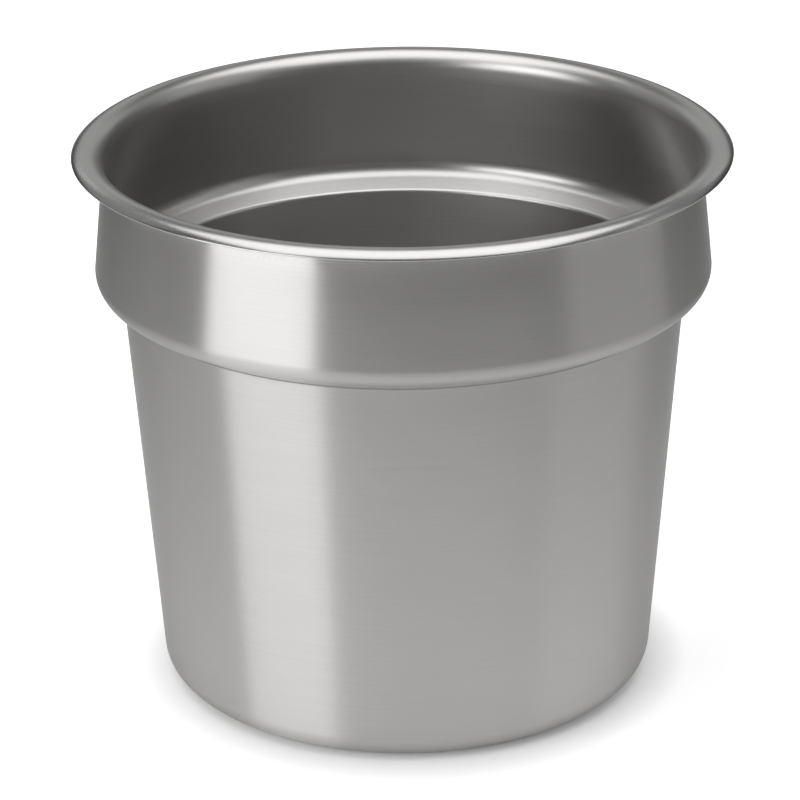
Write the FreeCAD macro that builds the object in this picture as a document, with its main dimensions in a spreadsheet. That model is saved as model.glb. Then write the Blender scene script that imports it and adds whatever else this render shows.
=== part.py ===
import FreeCAD, Part
import math
import os
import Sketcher

# Inset pot of a round food warmer, drawn in one piece from stainless sheet: a flat base, a tapered
# body, a rounded stacking shoulder that steps out to a wider band, and an arched rim that it hangs by.
# Millimetres, +Z up, origin at the centre of the base.

NODE = "inset_pot"

# Driving dimensions: radii are those of the outer face, heights are above the base, angles in degrees
size = {
    "sheet_gauge": 0.8,
    "pot_height": 240.0,
    "base_flat": 96.0,
    "corner_bend": 11.9,
    "neck_bend": 1.5,
    "ledge_run": 6.8,
    "ledge_slope": 28.0,
    "band_radius": 131.9,
    "shoulder_height": 186.6,
    "shoulder_bend": 8.7,
    "rim_radius": 140.0,
    "rim_arch": 7.6,
    "rim_turn": 51.0,
}

doc = FreeCAD.newDocument(NODE)
sheet = doc.addObject("Spreadsheet::Sheet", "sizes")
for row, (alias, value) in enumerate(size.items(), start=1):
    sheet.set(f"A{row}", alias)
    sheet.set(f"B{row}", str(value))
    sheet.setAlias(f"B{row}", alias)
doc.recompute()

# The sheet's four bends, from the base outwards. A bend towards the inside of the pot has a positive
# radius, one towards the outside a negative radius, and both are those of the sheet's outer face.
gauge = size["sheet_gauge"]
slope = math.radians(size["ledge_slope"])
lean = math.radians(size["rim_turn"])
shoulder_across = size["band_radius"] - size["shoulder_bend"]
shoulder_up = size["shoulder_height"]
ledge_depth = size["shoulder_bend"] + size["neck_bend"]
neck_across = shoulder_across + ledge_depth * math.sin(slope) - size["ledge_run"] * math.cos(slope)
neck_up = shoulder_up - ledge_depth * math.cos(slope) - size["ledge_run"] * math.sin(slope)
rim_across = size["rim_radius"] - size["rim_arch"] * math.sin(lean)
rim_up = size["pot_height"] - size["rim_arch"]
bends = [
    {"name": "corner", "centre": (size["base_flat"], size["corner_bend"]), "radius": size["corner_bend"]},
    {"name": "neck", "centre": (neck_across, neck_up), "radius": -size["neck_bend"]},
    {"name": "shoulder", "centre": (shoulder_across, shoulder_up), "radius": size["shoulder_bend"]},
    {"name": "rim", "centre": (rim_across, rim_up), "radius": gauge - size["rim_arch"]},
]
CORNER, SHOULDER, RIM = 0, 2, 3
bend_cells = {
    "corner": "sizes.corner_bend",
    "neck": "sizes.neck_bend",
    "shoulder": "sizes.shoulder_bend",
    "rim": "sizes.rim_arch - sizes.sheet_gauge",
}


def run_headings():
    """Directions of the straight runs before, between and after the bends, in radians."""
    headings = [0.0]
    for one, two in zip(bends, bends[1:]):
        across = two["centre"][0] - one["centre"][0]
        up = two["centre"][1] - one["centre"][1]
        swing = math.asin((two["radius"] - one["radius"]) / math.hypot(across, up))
        headings.append(math.atan2(up, across) - swing)
    headings.append(-lean)
    return headings


def bend_point(bend, offset, heading):
    """Point of a bend, moved into the sheet by offset, where the sheet runs along heading."""
    radius = bend["radius"] - offset
    across = bend["centre"][0] + radius * math.sin(heading)
    up = bend["centre"][1] - radius * math.cos(heading)
    return FreeCAD.Vector(across, up, 0)


def draw_face(sketch, offset):
    """One face of the sheet from the axis to the rim's edge: its straight runs, and its bends."""
    headings = run_headings()
    start = FreeCAD.Vector(0, offset, 0)
    runs = []
    arcs = []
    for bend, before, after in zip(bends, headings, headings[1:]):
        entry = bend_point(bend, offset, before)
        middle = bend_point(bend, offset, (before + after) / 2)
        leave = bend_point(bend, offset, after)
        runs.append(sketch.addGeometry(Part.LineSegment(start, entry)))
        arcs.append(sketch.addGeometry(Part.Arc(entry, middle, leave)))
        start = leave
    return runs, arcs


# Point numbers of drawn lines and arcs. An arc always runs anticlockwise, so the sheet enters a bend
# towards the outside at that arc's end.
START, END, CENTRE = 1, 2, 3
ORIGIN = (-1, 1)


def entry_end(bend):
    return START if bend["radius"] > 0 else END


def leaving_end(bend):
    return END if bend["radius"] > 0 else START


def join_face(sketch, runs, arcs):
    """Makes each run of a face tangent to the bends at its ends."""
    for bend, run, arc in zip(bends, runs, arcs):
        sketch.addConstraint(Sketcher.Constraint("Tangent", run, END, arc, entry_end(bend)))
    for bend, arc, run in zip(bends, arcs, runs[1:]):
        sketch.addConstraint(Sketcher.Constraint("Tangent", arc, leaving_end(bend), run, START))


def bind(sketch, name, cells, *dimension):
    """Adds a dimension under a name and drives it from the sheet's cells."""
    index = sketch.addConstraint(Sketcher.Constraint(*dimension))
    sketch.renameConstraint(index, name)
    sketch.setExpression(f"Constraints.{name}", cells)


def draw_section(sketch):
    """Half section of the pot: the sheet's two faces, closed on the axis and along the rim's edge."""
    outer_runs, outer_arcs = draw_face(sketch, 0.0)
    inner_runs, inner_arcs = draw_face(sketch, gauge)
    rim = bends[RIM]
    lip_outer = bend_point(rim, 0.0, -lean)
    lip_inner = bend_point(rim, gauge, -lean)
    edge = sketch.addGeometry(Part.LineSegment(lip_outer, lip_inner))
    axis = sketch.addGeometry(Part.LineSegment(FreeCAD.Vector(0, 0, 0), FreeCAD.Vector(0, gauge, 0)))

    # Both faces run from the axis to the edge, and the base is flat
    join_face(sketch, outer_runs, outer_arcs)
    join_face(sketch, inner_runs, inner_arcs)
    sketch.addConstraint(Sketcher.Constraint("Coincident", outer_runs[0], START, *ORIGIN))
    sketch.addConstraint(Sketcher.Constraint("Coincident", axis, START, *ORIGIN))
    sketch.addConstraint(Sketcher.Constraint("Coincident", axis, END, inner_runs[0], START))
    sketch.addConstraint(Sketcher.Constraint("Coincident", edge, START, outer_arcs[RIM], leaving_end(rim)))
    sketch.addConstraint(Sketcher.Constraint("Coincident", edge, END, inner_arcs[RIM], leaving_end(rim)))
    sketch.addConstraint(Sketcher.Constraint("Vertical", axis))
    sketch.addConstraint(Sketcher.Constraint("Horizontal", outer_runs[0]))
    sketch.addConstraint(Sketcher.Constraint("Horizontal", inner_runs[0]))

    # The two faces bend about the same centres, so the sheet keeps its gauge all the way
    for bend, outer, inner in zip(bends, outer_arcs, inner_arcs):
        name = bend["name"]
        cells = bend_cells[name]
        side = "-" if bend["radius"] > 0 else "+"
        inner_cells = f"{cells} {side} sizes.sheet_gauge"
        sketch.addConstraint(Sketcher.Constraint("Coincident", inner, CENTRE, outer, CENTRE))
        bind(sketch, f"{name}_outer", cells, "Radius", outer, abs(bend["radius"]))
        bind(sketch, f"{name}_inner", inner_cells, "Radius", inner, abs(bend["radius"] - gauge))

    # Places of the bends: the base's flat, the band's widest ring, the ledge and the rim's crown
    corner = (outer_arcs[CORNER], CENTRE)
    shoulder = (outer_arcs[SHOULDER], CENTRE)
    crown = (outer_arcs[RIM], CENTRE)
    ledge = outer_runs[SHOULDER]
    shoulder_cells = "sizes.band_radius - sizes.shoulder_bend"
    rim_across_cells = "sizes.rim_radius - sizes.rim_arch * sin(sizes.rim_turn * 1 deg)"
    rim_up_cells = "sizes.pot_height - sizes.rim_arch"
    bind(sketch, "base_flat", "sizes.base_flat", "DistanceX", *ORIGIN, *corner, size["base_flat"])
    bind(sketch, "shoulder_across", shoulder_cells, "DistanceX", *ORIGIN, *shoulder, shoulder_across)
    bind(sketch, "shoulder_up", "sizes.shoulder_height", "DistanceY", *ORIGIN, *shoulder, shoulder_up)
    bind(sketch, "ledge_run", "sizes.ledge_run", "Distance", ledge, size["ledge_run"])
    bind(sketch, "ledge_slope", "sizes.ledge_slope * 1 deg", "Angle", ledge, slope)
    bind(sketch, "rim_across", rim_across_cells, "DistanceX", *ORIGIN, *crown, rim_across)
    bind(sketch, "rim_up", rim_up_cells, "DistanceY", *ORIGIN, *crown, rim_up)

    # The edge is cut square to the sheet, where the rim has turned down by its full angle
    sketch.addConstraint(Sketcher.Constraint("PointOnObject", *crown, edge))
    bind(sketch, "edge_lean", "90 deg - sizes.rim_turn * 1 deg", "Angle", edge, math.pi / 2 - lean)


body = doc.addObject("PartDesign::Body", NODE)
body.Label = NODE
section = body.newObject("Sketcher::SketchObject", "sheet_section")
upright = next(plane for plane in body.Origin.OriginFeatures if plane.Role == "XZ_Plane")
section.AttachmentSupport = (upright, [""])
section.MapMode = "FlatFace"
draw_section(section)
doc.recompute()

pot = body.newObject("PartDesign::Revolution", "drawn_pot")
pot.Profile = section
pot.ReferenceAxis = (section, ["V_Axis"])
pot.Angle = 360.0
body.Placement = FreeCAD.Placement()
doc.recompute()

# Nothing is written unless the whole document has built
if not section.FullyConstrained:
    raise RuntimeError("the sheet's section isn't fully constrained")
for item in doc.Objects:
    if "Invalid" in item.State or "Error" in item.State:
        raise RuntimeError(f"{item.Label} failed: {item.State}")
if body.Shape.isNull() or not body.Shape.isValid():
    raise RuntimeError(f"{body.Label} has no valid shape")

os.makedirs("parts", exist_ok=True)
body.Shape.exportStep(os.path.join("parts", f"{body.Label}.step"))
box = body.Shape.optimalBoundingBox(False)
print(f"{body.Label}: {box.XLength:.2f} x {box.YLength:.2f} x {box.ZLength:.2f} mm")
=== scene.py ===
import math

import bpy
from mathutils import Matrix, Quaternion, Vector


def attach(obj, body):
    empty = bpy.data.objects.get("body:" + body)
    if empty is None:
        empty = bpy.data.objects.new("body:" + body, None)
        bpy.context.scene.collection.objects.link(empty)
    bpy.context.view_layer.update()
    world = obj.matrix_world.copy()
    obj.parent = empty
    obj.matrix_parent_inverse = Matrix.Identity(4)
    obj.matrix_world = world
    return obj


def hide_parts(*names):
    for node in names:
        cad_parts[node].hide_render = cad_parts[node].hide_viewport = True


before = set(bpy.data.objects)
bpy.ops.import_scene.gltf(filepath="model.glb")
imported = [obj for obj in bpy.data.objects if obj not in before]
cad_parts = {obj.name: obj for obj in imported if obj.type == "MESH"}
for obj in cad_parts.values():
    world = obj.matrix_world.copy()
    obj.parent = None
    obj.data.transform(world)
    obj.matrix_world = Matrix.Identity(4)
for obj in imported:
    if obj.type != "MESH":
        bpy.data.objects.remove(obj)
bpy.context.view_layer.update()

# The pot
# One disc of stainless sheet, deep drawn to a flat base, a tapered body and a stacking shoulder, then
# flared into the band and arched over at the rim, where its trimmed edge is rounded off.

# Sizes in millimetres, those of the sheet's outer face, with heights above the base
MM = 0.001
SHEET_GAUGE = 0.8
POT_HEIGHT = 240.0
BASE_FLAT = 96.0
CORNER_BEND = 11.9
NECK_BEND = 1.5
LEDGE_RUN = 6.8
LEDGE_SLOPE = math.radians(28)
BAND_RADIUS = 131.9
SHOULDER_HEIGHT = 186.6
SHOULDER_BEND = 8.7
RIM_RADIUS = 140.0
RIM_ARCH = 7.6
RIM_TURN = math.radians(51)

shoulder = (BAND_RADIUS - SHOULDER_BEND, SHOULDER_HEIGHT)
ledge_depth = SHOULDER_BEND + NECK_BEND
neck = (
    shoulder[0] + ledge_depth * math.sin(LEDGE_SLOPE) - LEDGE_RUN * math.cos(LEDGE_SLOPE),
    shoulder[1] - ledge_depth * math.cos(LEDGE_SLOPE) - LEDGE_RUN * math.sin(LEDGE_SLOPE),
)
crown = (RIM_RADIUS - RIM_ARCH * math.sin(RIM_TURN), POT_HEIGHT - RIM_ARCH)
# Centre and radius of each bend, positive where the sheet turns towards the inside
bends = [
    ((BASE_FLAT, CORNER_BEND), CORNER_BEND),
    (neck, -NECK_BEND),
    (shoulder, SHOULDER_BEND),
    (crown, SHEET_GAUGE - RIM_ARCH),
]
NECK = 1

# Directions of the straight runs before, between and after the bends
headings = [0.0]
for (one, one_bend), (two, two_bend) in zip(bends, bends[1:]):
    across, up = two[0] - one[0], two[1] - one[1]
    swing = math.asin((two_bend - one_bend) / math.hypot(across, up))
    headings.append(math.atan2(up, across) - swing)
headings.append(-RIM_TURN)

BEND_STEPS = 20
RUN_STEP = 6.0


def sheet_bend(number, offset):
    """Points of one bend of the sheet, offset into the sheet."""
    centre, bend = bends[number]
    before, after = headings[number], headings[number + 1]
    radius = bend - offset
    points = []
    for step in range(BEND_STEPS + 1):
        heading = before + (after - before) * step / BEND_STEPS
        points.append((centre[0] + radius * math.sin(heading), centre[1] - radius * math.cos(heading)))
    return points


def sheet_face(offset):
    """Points of one face of the sheet, from the axis to the rim's edge, offset into the sheet."""
    points = [(0.0, offset)]
    for number in range(len(bends)):
        turn = sheet_bend(number, offset)
        last, entry = points[-1], turn[0]
        across, up = entry[0] - last[0], entry[1] - last[1]
        pieces = max(1, round(math.hypot(across, up) / RUN_STEP))
        for piece in range(1, pieces):
            share = piece / pieces
            points.append((last[0] + across * share, last[1] + up * share))
        points += turn
    return points


# The trimmed edge is a half round as thick as the sheet
EDGE_STEPS = 8
edge_radius = SHEET_GAUGE / 2
edge_middle = (
    crown[0] + (RIM_ARCH - edge_radius) * math.sin(RIM_TURN),
    crown[1] + (RIM_ARCH - edge_radius) * math.cos(RIM_TURN),
)
edge = []
for step in range(1, EDGE_STEPS):
    turn = -RIM_TURN - math.pi / 2 + math.pi * step / EDGE_STEPS
    edge.append((
        edge_middle[0] + edge_radius * math.cos(turn),
        edge_middle[1] + edge_radius * math.sin(turn),
    ))

# The outline is turned about the pot's axis, with one point for each ring that lies on the axis
AROUND = 288
outline = sheet_face(0.0) + edge + sheet_face(SHEET_GAUGE)[::-1]
ring_sizes = [1 if r == 0.0 else AROUND for r, z in outline]
ring_starts = []
verts = []
faces = []
for (r, z), ring_size in zip(outline, ring_sizes):
    ring_starts.append(len(verts))
    for spot in range(ring_size):
        angle = 2 * math.pi * spot / AROUND
        verts.append((r * MM * math.cos(angle), r * MM * math.sin(angle), z * MM))
for ring in range(len(outline) - 1):
    low, high = ring_starts[ring], ring_starts[ring + 1]
    for spot in range(AROUND):
        after = (spot + 1) % AROUND
        if ring_sizes[ring] == 1:
            faces.append((low, high + after, high + spot))
        elif ring_sizes[ring + 1] == 1:
            faces.append((low + spot, low + after, high))
        else:
            faces.append((low + spot, low + after, high + after, high + spot))

pot_mesh = bpy.data.meshes.new("drawn_pot")
pot_mesh.from_pydata(verts, [], faces)
pot_mesh.shade_smooth()
pot = bpy.data.objects.new("drawn_pot", pot_mesh)
bpy.context.scene.collection.objects.link(pot)


def mark_rings(name, ring_values):
    """Stores one number for each ring of the pot, for its material to read."""
    values = [value for value, ring_size in zip(ring_values, ring_sizes) for spot in range(ring_size)]
    pot_mesh.attributes.new(name, "FLOAT", "POINT").data.foreach_set("value", values)


# Distance along the sheet's outline, in metres, which the brush lines are laid across
lengths = [0.0]
for one, two in zip(outline, outline[1:]):
    lengths.append(lengths[-1] + math.dist(one, two))
mark_rings("along", [length * MM for length in lengths])

arch_rings = BEND_STEPS + 1
face_rings = len(sheet_face(0.0)) - arch_rings
lip_rings = arch_rings + len(edge)


def mark_zones(name, outside, rim, bend, inside):
    """Stores a number for the outside, the rim's lip, the end of its bend, and the inside."""
    arch = [rim + (bend - rim) * step / BEND_STEPS for step in range(arch_rings)]
    mark_rings(name, [outside] * face_rings + [rim] * lip_rings + arch + [inside] * face_rings)


# The rim's lip is the smoothest, and its bend gets rougher towards the wall
OUTSIDE_ROUGHNESS = 0.34
RIM_ROUGHNESS = 0.25
ARCH_ROUGHNESS = 0.4
INSIDE_ROUGHNESS = 0.33
mark_zones("finish", OUTSIDE_ROUGHNESS, RIM_ROUGHNESS, ARCH_ROUGHNESS, INSIDE_ROUGHNESS)
# The steel goes over to the inside's lighter one along the rim's bend
OUTSIDE_SHINE = 0.0
INSIDE_SHINE = 1.0
mark_zones("shine", OUTSIDE_SHINE, OUTSIDE_SHINE, INSIDE_SHINE, INSIDE_SHINE)
# Painted shade: the steel's colour is darkened along the crease under the ledge, standing in for the
# shade that falls in the fold
CREASE_PAINTED_SHADE = 0.48
neck_start = outline.index(sheet_bend(NECK, 0.0)[0])
crease_painted_shade = [1.0] * len(outline)
for step in range(BEND_STEPS + 1):
    crease_painted_shade[neck_start + step] -= (1 - CREASE_PAINTED_SHADE) * math.sin(math.pi * step / BEND_STEPS)
mark_rings("crease_painted_shade", crease_painted_shade)


def linear(hex_colour):
    """sRGB hex to the linear colour that a shader takes."""
    channels = [int(hex_colour[i:i + 2], 16) / 255 for i in (1, 3, 5)]
    return [c / 12.92 if c <= 0.04045 else ((c + 0.055) / 1.055) ** 2.4 for c in channels] + [1.0]


def add_node(tree, kind, settings, links):
    """Adds a node, sets its properties and input values, and links its inputs to other outputs."""
    node = tree.nodes.new(kind)
    for name, value in settings.items():
        if isinstance(name, str) and hasattr(node, name):
            setattr(node, name, value)
        else:
            node.inputs[name].default_value = value
    for name, output in links.items():
        tree.links.new(output, node.inputs[name])
    return node


# Austenitic stainless sheet, satin brushed round the pot on a lathe: a grey metal whose fine lines run
# round it, so that reflections stay narrow around the pot and smear up and down it. The outside is
# brushed hard and grows darker where it is seen along its face. The rim and the inside are brushed
# lightly, so their reflections are wider, and the inside is a little lighter.
STEEL_OUTSIDE = "#C0BFBE"
STEEL_INSIDE = "#CECDCC"
OUTSIDE_EDGE = "#C4C4C4"
INSIDE_EDGE = "#FFFFFF"
OUTSIDE_NARROWING = 1.0
INSIDE_NARROWING = 0.5
# A quarter turn lays the narrow side of a reflection along the brush lines
QUARTER_TURN = 0.25
# The real lines are a few hundredths of a millimetre wide; these are drawn half a millimetre wide, to be
# seen. Width, length and depth are in millimetres.
LINE_WIDTH = 0.5556
LINE_LENGTH = 45.5
LINE_DEPTH = 0.005
LINE_STRENGTH = 0.1
# The noise's values in a line and beside it, a line's shade, and by how much of itself the roughness
# falls in a line and rises beside it
NOISE_LOW = 0.3
NOISE_HIGH = 0.7
LINE_SHADE = 0.95
LINE_WEAR = 0.05


def brushed_steel(name, narrowing, edge_tint):
    """The steel with its brush lines, which narrow reflections around the pot."""
    brushed = bpy.data.materials.new(name)
    brushed.use_nodes = True
    tree = brushed.node_tree
    shader = tree.nodes["Principled BSDF"]
    shader.inputs["Metallic"].default_value = 1.0
    shader.inputs["Anisotropic"].default_value = narrowing
    shader.inputs["Anisotropic Rotation"].default_value = QUARTER_TURN
    shader.inputs["Specular Tint"].default_value = linear(edge_tint)
    round_pot = add_node(tree, "ShaderNodeTangent", {"direction_type": "RADIAL", "axis": "Z"}, {})
    tree.links.new(round_pot.outputs["Tangent"], shader.inputs["Tangent"])

    # The brush lines: noise drawn out round the pot and thin along the sheet
    place = add_node(tree, "ShaderNodeTexCoord", {}, {})
    place = add_node(tree, "ShaderNodeSeparateXYZ", {}, {"Vector": place.outputs["Object"]})
    ring = add_node(tree, "ShaderNodeAttribute", {"attribute_name": "along"}, {})
    laid = add_node(tree, "ShaderNodeCombineXYZ", {}, {
        "X": place.outputs["X"], "Y": place.outputs["Y"], "Z": ring.outputs["Fac"],
    })
    round_scale = 1 / (LINE_LENGTH * MM)
    along_scale = 1 / (LINE_WIDTH * MM)
    laid = add_node(tree, "ShaderNodeVectorMath", {
        "operation": "MULTIPLY", 1: (round_scale, round_scale, along_scale),
    }, {0: laid.outputs["Vector"]})
    lines = add_node(tree, "ShaderNodeTexNoise", {"Scale": 1.0, "Detail": 1.0}, {
        "Vector": laid.outputs["Vector"],
    })

    # Colour: the steel of that place, darker in the lines, and darkened in the crease as painted shade
    shine = add_node(tree, "ShaderNodeAttribute", {"attribute_name": "shine"}, {})
    steel = add_node(tree, "ShaderNodeMix", {
        "data_type": "RGBA", 6: linear(STEEL_OUTSIDE), 7: linear(STEEL_INSIDE),
    }, {0: shine.outputs["Fac"]})
    shade = add_node(tree, "ShaderNodeMapRange", {
        "From Min": NOISE_LOW, "From Max": NOISE_HIGH, "To Min": LINE_SHADE, "To Max": 1.0,
    }, {"Value": lines.outputs["Fac"]})
    # Painted shade along the crease under the ledge
    painted_crease_node = add_node(tree, "ShaderNodeAttribute", {"attribute_name": "crease_painted_shade"}, {})
    shade = add_node(tree, "ShaderNodeMath", {"operation": "MULTIPLY"}, {
        0: shade.outputs["Result"], 1: painted_crease_node.outputs["Fac"],
    })
    tint = add_node(tree, "ShaderNodeVectorMath", {"operation": "SCALE"}, {
        0: steel.outputs[2], "Scale": shade.outputs["Value"],
    })
    tree.links.new(tint.outputs["Vector"], shader.inputs["Base Color"])

    # Roughness of that place, and the lines' own relief
    finish = add_node(tree, "ShaderNodeAttribute", {"attribute_name": "finish"}, {})
    worn = add_node(tree, "ShaderNodeMapRange", {
        "From Min": NOISE_LOW, "From Max": NOISE_HIGH, "To Min": 1 - LINE_WEAR, "To Max": 1 + LINE_WEAR,
    }, {"Value": lines.outputs["Fac"]})
    rough = add_node(tree, "ShaderNodeMath", {"operation": "MULTIPLY"}, {
        0: finish.outputs["Fac"], 1: worn.outputs["Result"],
    })
    tree.links.new(rough.outputs["Value"], shader.inputs["Roughness"])
    scratches = add_node(tree, "ShaderNodeBump", {
        "Strength": LINE_STRENGTH, "Distance": LINE_DEPTH * MM,
    }, {"Height": lines.outputs["Fac"]})
    tree.links.new(scratches.outputs["Normal"], shader.inputs["Normal"])
    return brushed


pot_mesh.materials.append(brushed_steel("brushed_stainless", OUTSIDE_NARROWING, OUTSIDE_EDGE))
pot_mesh.materials.append(brushed_steel("fine_brushed_stainless", INSIDE_NARROWING, INSIDE_EDGE))
outer_faces = AROUND * face_rings
inner_faces = len(faces) - outer_faces
pot_mesh.polygons.foreach_set("material_index", [0] * outer_faces + [1] * inner_faces)
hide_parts("inset_pot")
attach(pot, "root")

# The floor
# A wide sheet of matt white board that the pot stands on. A soft pool of it around and behind the pot
# glows to the eye and in reflections, so that it comes out white. The glow is kept off a ring round the
# pot's axis, under and right beside the pot, which leaves a painted contact shadow there over the real
# shadow where the pot keeps the light off it.
FLOOR_HALF = 6.0
FLOOR_WHITE = "#FAFAFA"
FLOOR_ROUGHNESS = 0.9
# The glow's strength, and its limits in metres: it grows from its near to its far line, fades behind
# between its two end lines, and fades to each side past its half width, which widens towards the back
GLOW = 0.85
GLOW_NEAR = -0.7
GLOW_FAR = 0.3
GLOW_END = (1.0, 3.0)
GLOW_HALF = 0.08
GLOW_EDGE = 0.42
GLOW_SPREAD = 0.12
# Radii round the pot's axis between which the glow sets in; inside the inner one there is no glow, which
# paints a contact shadow
PAINTED_SHADOW_INNER = 0.094
PAINTED_SHADOW_OUTER = 0.125

corners = [(-FLOOR_HALF, -FLOOR_HALF, 0), (FLOOR_HALF, -FLOOR_HALF, 0)]
corners += [(FLOOR_HALF, FLOOR_HALF, 0), (-FLOOR_HALF, FLOOR_HALF, 0)]
floor_mesh = bpy.data.meshes.new("floor")
floor_mesh.from_pydata(corners, [], [(0, 1, 2, 3)])
floor = bpy.data.objects.new("floor", floor_mesh)
bpy.context.scene.collection.objects.link(floor)

board = bpy.data.materials.new("matt_white_board")
board.use_nodes = True
tree = board.node_tree
paper = tree.nodes["Principled BSDF"]
paper.inputs["Base Color"].default_value = linear(FLOOR_WHITE)
paper.inputs["Roughness"].default_value = FLOOR_ROUGHNESS
paper.inputs["Specular IOR Level"].default_value = 0.0
paper.inputs["Emission Color"].default_value = (1, 1, 1, 1)
path = add_node(tree, "ShaderNodeLightPath", {}, {})
seen = add_node(tree, "ShaderNodeMath", {"operation": "ADD"}, {
    0: path.outputs["Is Camera Ray"], 1: path.outputs["Is Glossy Ray"],
})
seen = add_node(tree, "ShaderNodeMath", {"operation": "ADD", "use_clamp": True}, {
    0: seen.outputs["Value"], 1: path.outputs["Is Transmission Ray"],
})
place = add_node(tree, "ShaderNodeTexCoord", {}, {})
axes = add_node(tree, "ShaderNodeSeparateXYZ", {}, {"Vector": place.outputs["Object"]})
side = add_node(tree, "ShaderNodeMath", {"operation": "ABSOLUTE"}, {0: axes.outputs["X"]})
side = add_node(tree, "ShaderNodeMath", {"operation": "MULTIPLY_ADD", 1: -GLOW_SPREAD}, {
    0: axes.outputs["Y"], 2: side.outputs["Value"],
})
strip = add_node(tree, "ShaderNodeMapRange", {
    "interpolation_type": "SMOOTHSTEP",
    "From Min": GLOW_HALF, "From Max": GLOW_HALF + GLOW_EDGE, "To Min": 1.0, "To Max": 0.0,
}, {"Value": side.outputs["Value"]})
behind = add_node(tree, "ShaderNodeMapRange", {
    "From Min": GLOW_NEAR, "From Max": GLOW_FAR, "To Min": 0.0, "To Max": GLOW,
}, {"Value": axes.outputs["Y"]})
beyond = add_node(tree, "ShaderNodeMapRange", {
    "interpolation_type": "SMOOTHSTEP",
    "From Min": GLOW_END[0], "From Max": GLOW_END[1], "To Min": 1.0, "To Max": 0.0,
}, {"Value": axes.outputs["Y"]})
# The painted contact shadow: no glow close round the pot's axis, whatever the light's direction
away = add_node(tree, "ShaderNodeVectorMath", {"operation": "LENGTH"}, {0: place.outputs["Object"]})
painted_shadow_ring = add_node(tree, "ShaderNodeMapRange", {
    "From Min": PAINTED_SHADOW_INNER, "From Max": PAINTED_SHADOW_OUTER, "To Min": 0.0, "To Max": 1.0,
}, {"Value": away.outputs["Value"]})
glow = seen.outputs["Value"]
for limit in (strip, behind, beyond, painted_shadow_ring):
    limited = add_node(tree, "ShaderNodeMath", {"operation": "MULTIPLY"}, {
        0: glow, 1: limit.outputs["Result"],
    })
    glow = limited.outputs["Value"]
tree.links.new(glow, paper.inputs["Emission Strength"])
floor_mesh.materials.append(board)

# The lights
# A large soft light overhead and a tall soft box at the left in front, with weak boards at the right,
# behind, and behind at both sides, in a dim room.
ROOM = 0.06
room = bpy.data.worlds.new("studio")
bpy.context.scene.world = room
room.use_nodes = True
room.node_tree.nodes["Background"].inputs["Color"].default_value = (1, 1, 1, 1)
room.node_tree.nodes["Background"].inputs["Strength"].default_value = ROOM


def soft_box(name, place, facing, size, radiance):
    """A rectangular area light that faces a point, with the brightness that it shows in a mirror."""
    light = bpy.data.lights.new(name, "AREA")
    light.shape = "RECTANGLE"
    light.size, light.size_y = size
    light.energy = radiance * math.pi * size[0] * size[1]
    lamp = bpy.data.objects.new(name, light)
    lamp.location = place
    lamp.rotation_euler = (Vector(facing) - Vector(place)).to_track_quat("-Z", "Y").to_euler()
    bpy.context.scene.collection.objects.link(lamp)


BAND_MIDDLE = (0, 0, 0.2)
RIM_MIDDLE = (0, 0, 0.24)
ABOVE_RIM = (0, 0, 0.25)
SIDE_BOARD = (1.3, 0.9)
soft_box("overhead", place=(0, 0, 1.3), facing=BAND_MIDDLE, size=(1.6, 1.35), radiance=1.8)
soft_box("left_box", place=(-0.99, -0.79, 0.5), facing=ABOVE_RIM, size=(0.985, 1.0), radiance=2.85)
soft_box("right_board", place=(1.6, -0.2, 0.7), facing=BAND_MIDDLE, size=(1.5, 1.4), radiance=0.37)
soft_box("back_board", place=(0, 2.0, 1.02), facing=BAND_MIDDLE, size=(2.8, 0.9), radiance=0.45)
soft_box("left_back_board", place=(-1.07, 0.75, 0.95), facing=RIM_MIDDLE, size=SIDE_BOARD, radiance=0.27)
soft_box("right_back_board", place=(1.07, 0.75, 1.1), facing=RIM_MIDDLE, size=SIDE_BOARD, radiance=0.2)

# The camera
# A long lens in front of the pot, looking down on it, as the photograph was taken.
IMAGE = 800
FOCAL_PIXELS = 3639.0
SENSOR_WIDTH = 36.0
DISTANCE = 1.5448
ELEVATION = math.radians(18.342)
ROLL = math.radians(-0.57)
RIM_CENTRE_PIXEL = (402.18, 139.66)
camera_data = bpy.data.cameras.new("camera")
camera_data.sensor_width = SENSOR_WIDTH
camera_data.lens = FOCAL_PIXELS / IMAGE * SENSOR_WIDTH
camera = bpy.data.objects.new("camera", camera_data)
rim_centre = Vector((0, 0, POT_HEIGHT * MM))
back = Vector((0, -math.cos(ELEVATION), math.sin(ELEVATION)))
camera.location = rim_centre + back * DISTANCE
ray = Vector((
    (RIM_CENTRE_PIXEL[0] - IMAGE / 2) / FOCAL_PIXELS,
    (IMAGE / 2 - RIM_CENTRE_PIXEL[1]) / FOCAL_PIXELS,
    -1.0,
))
aim = (-back).to_track_quat("-Z", "Y")
tilt = ray.rotation_difference(Vector((0, 0, -1)))
camera.rotation_mode = "QUATERNION"
camera.rotation_quaternion = aim @ Quaternion((0, 0, 1), ROLL) @ tilt
bpy.context.scene.collection.objects.link(camera)
bpy.context.scene.camera = camera
bpy.context.scene.view_settings.view_transform = "Standard"
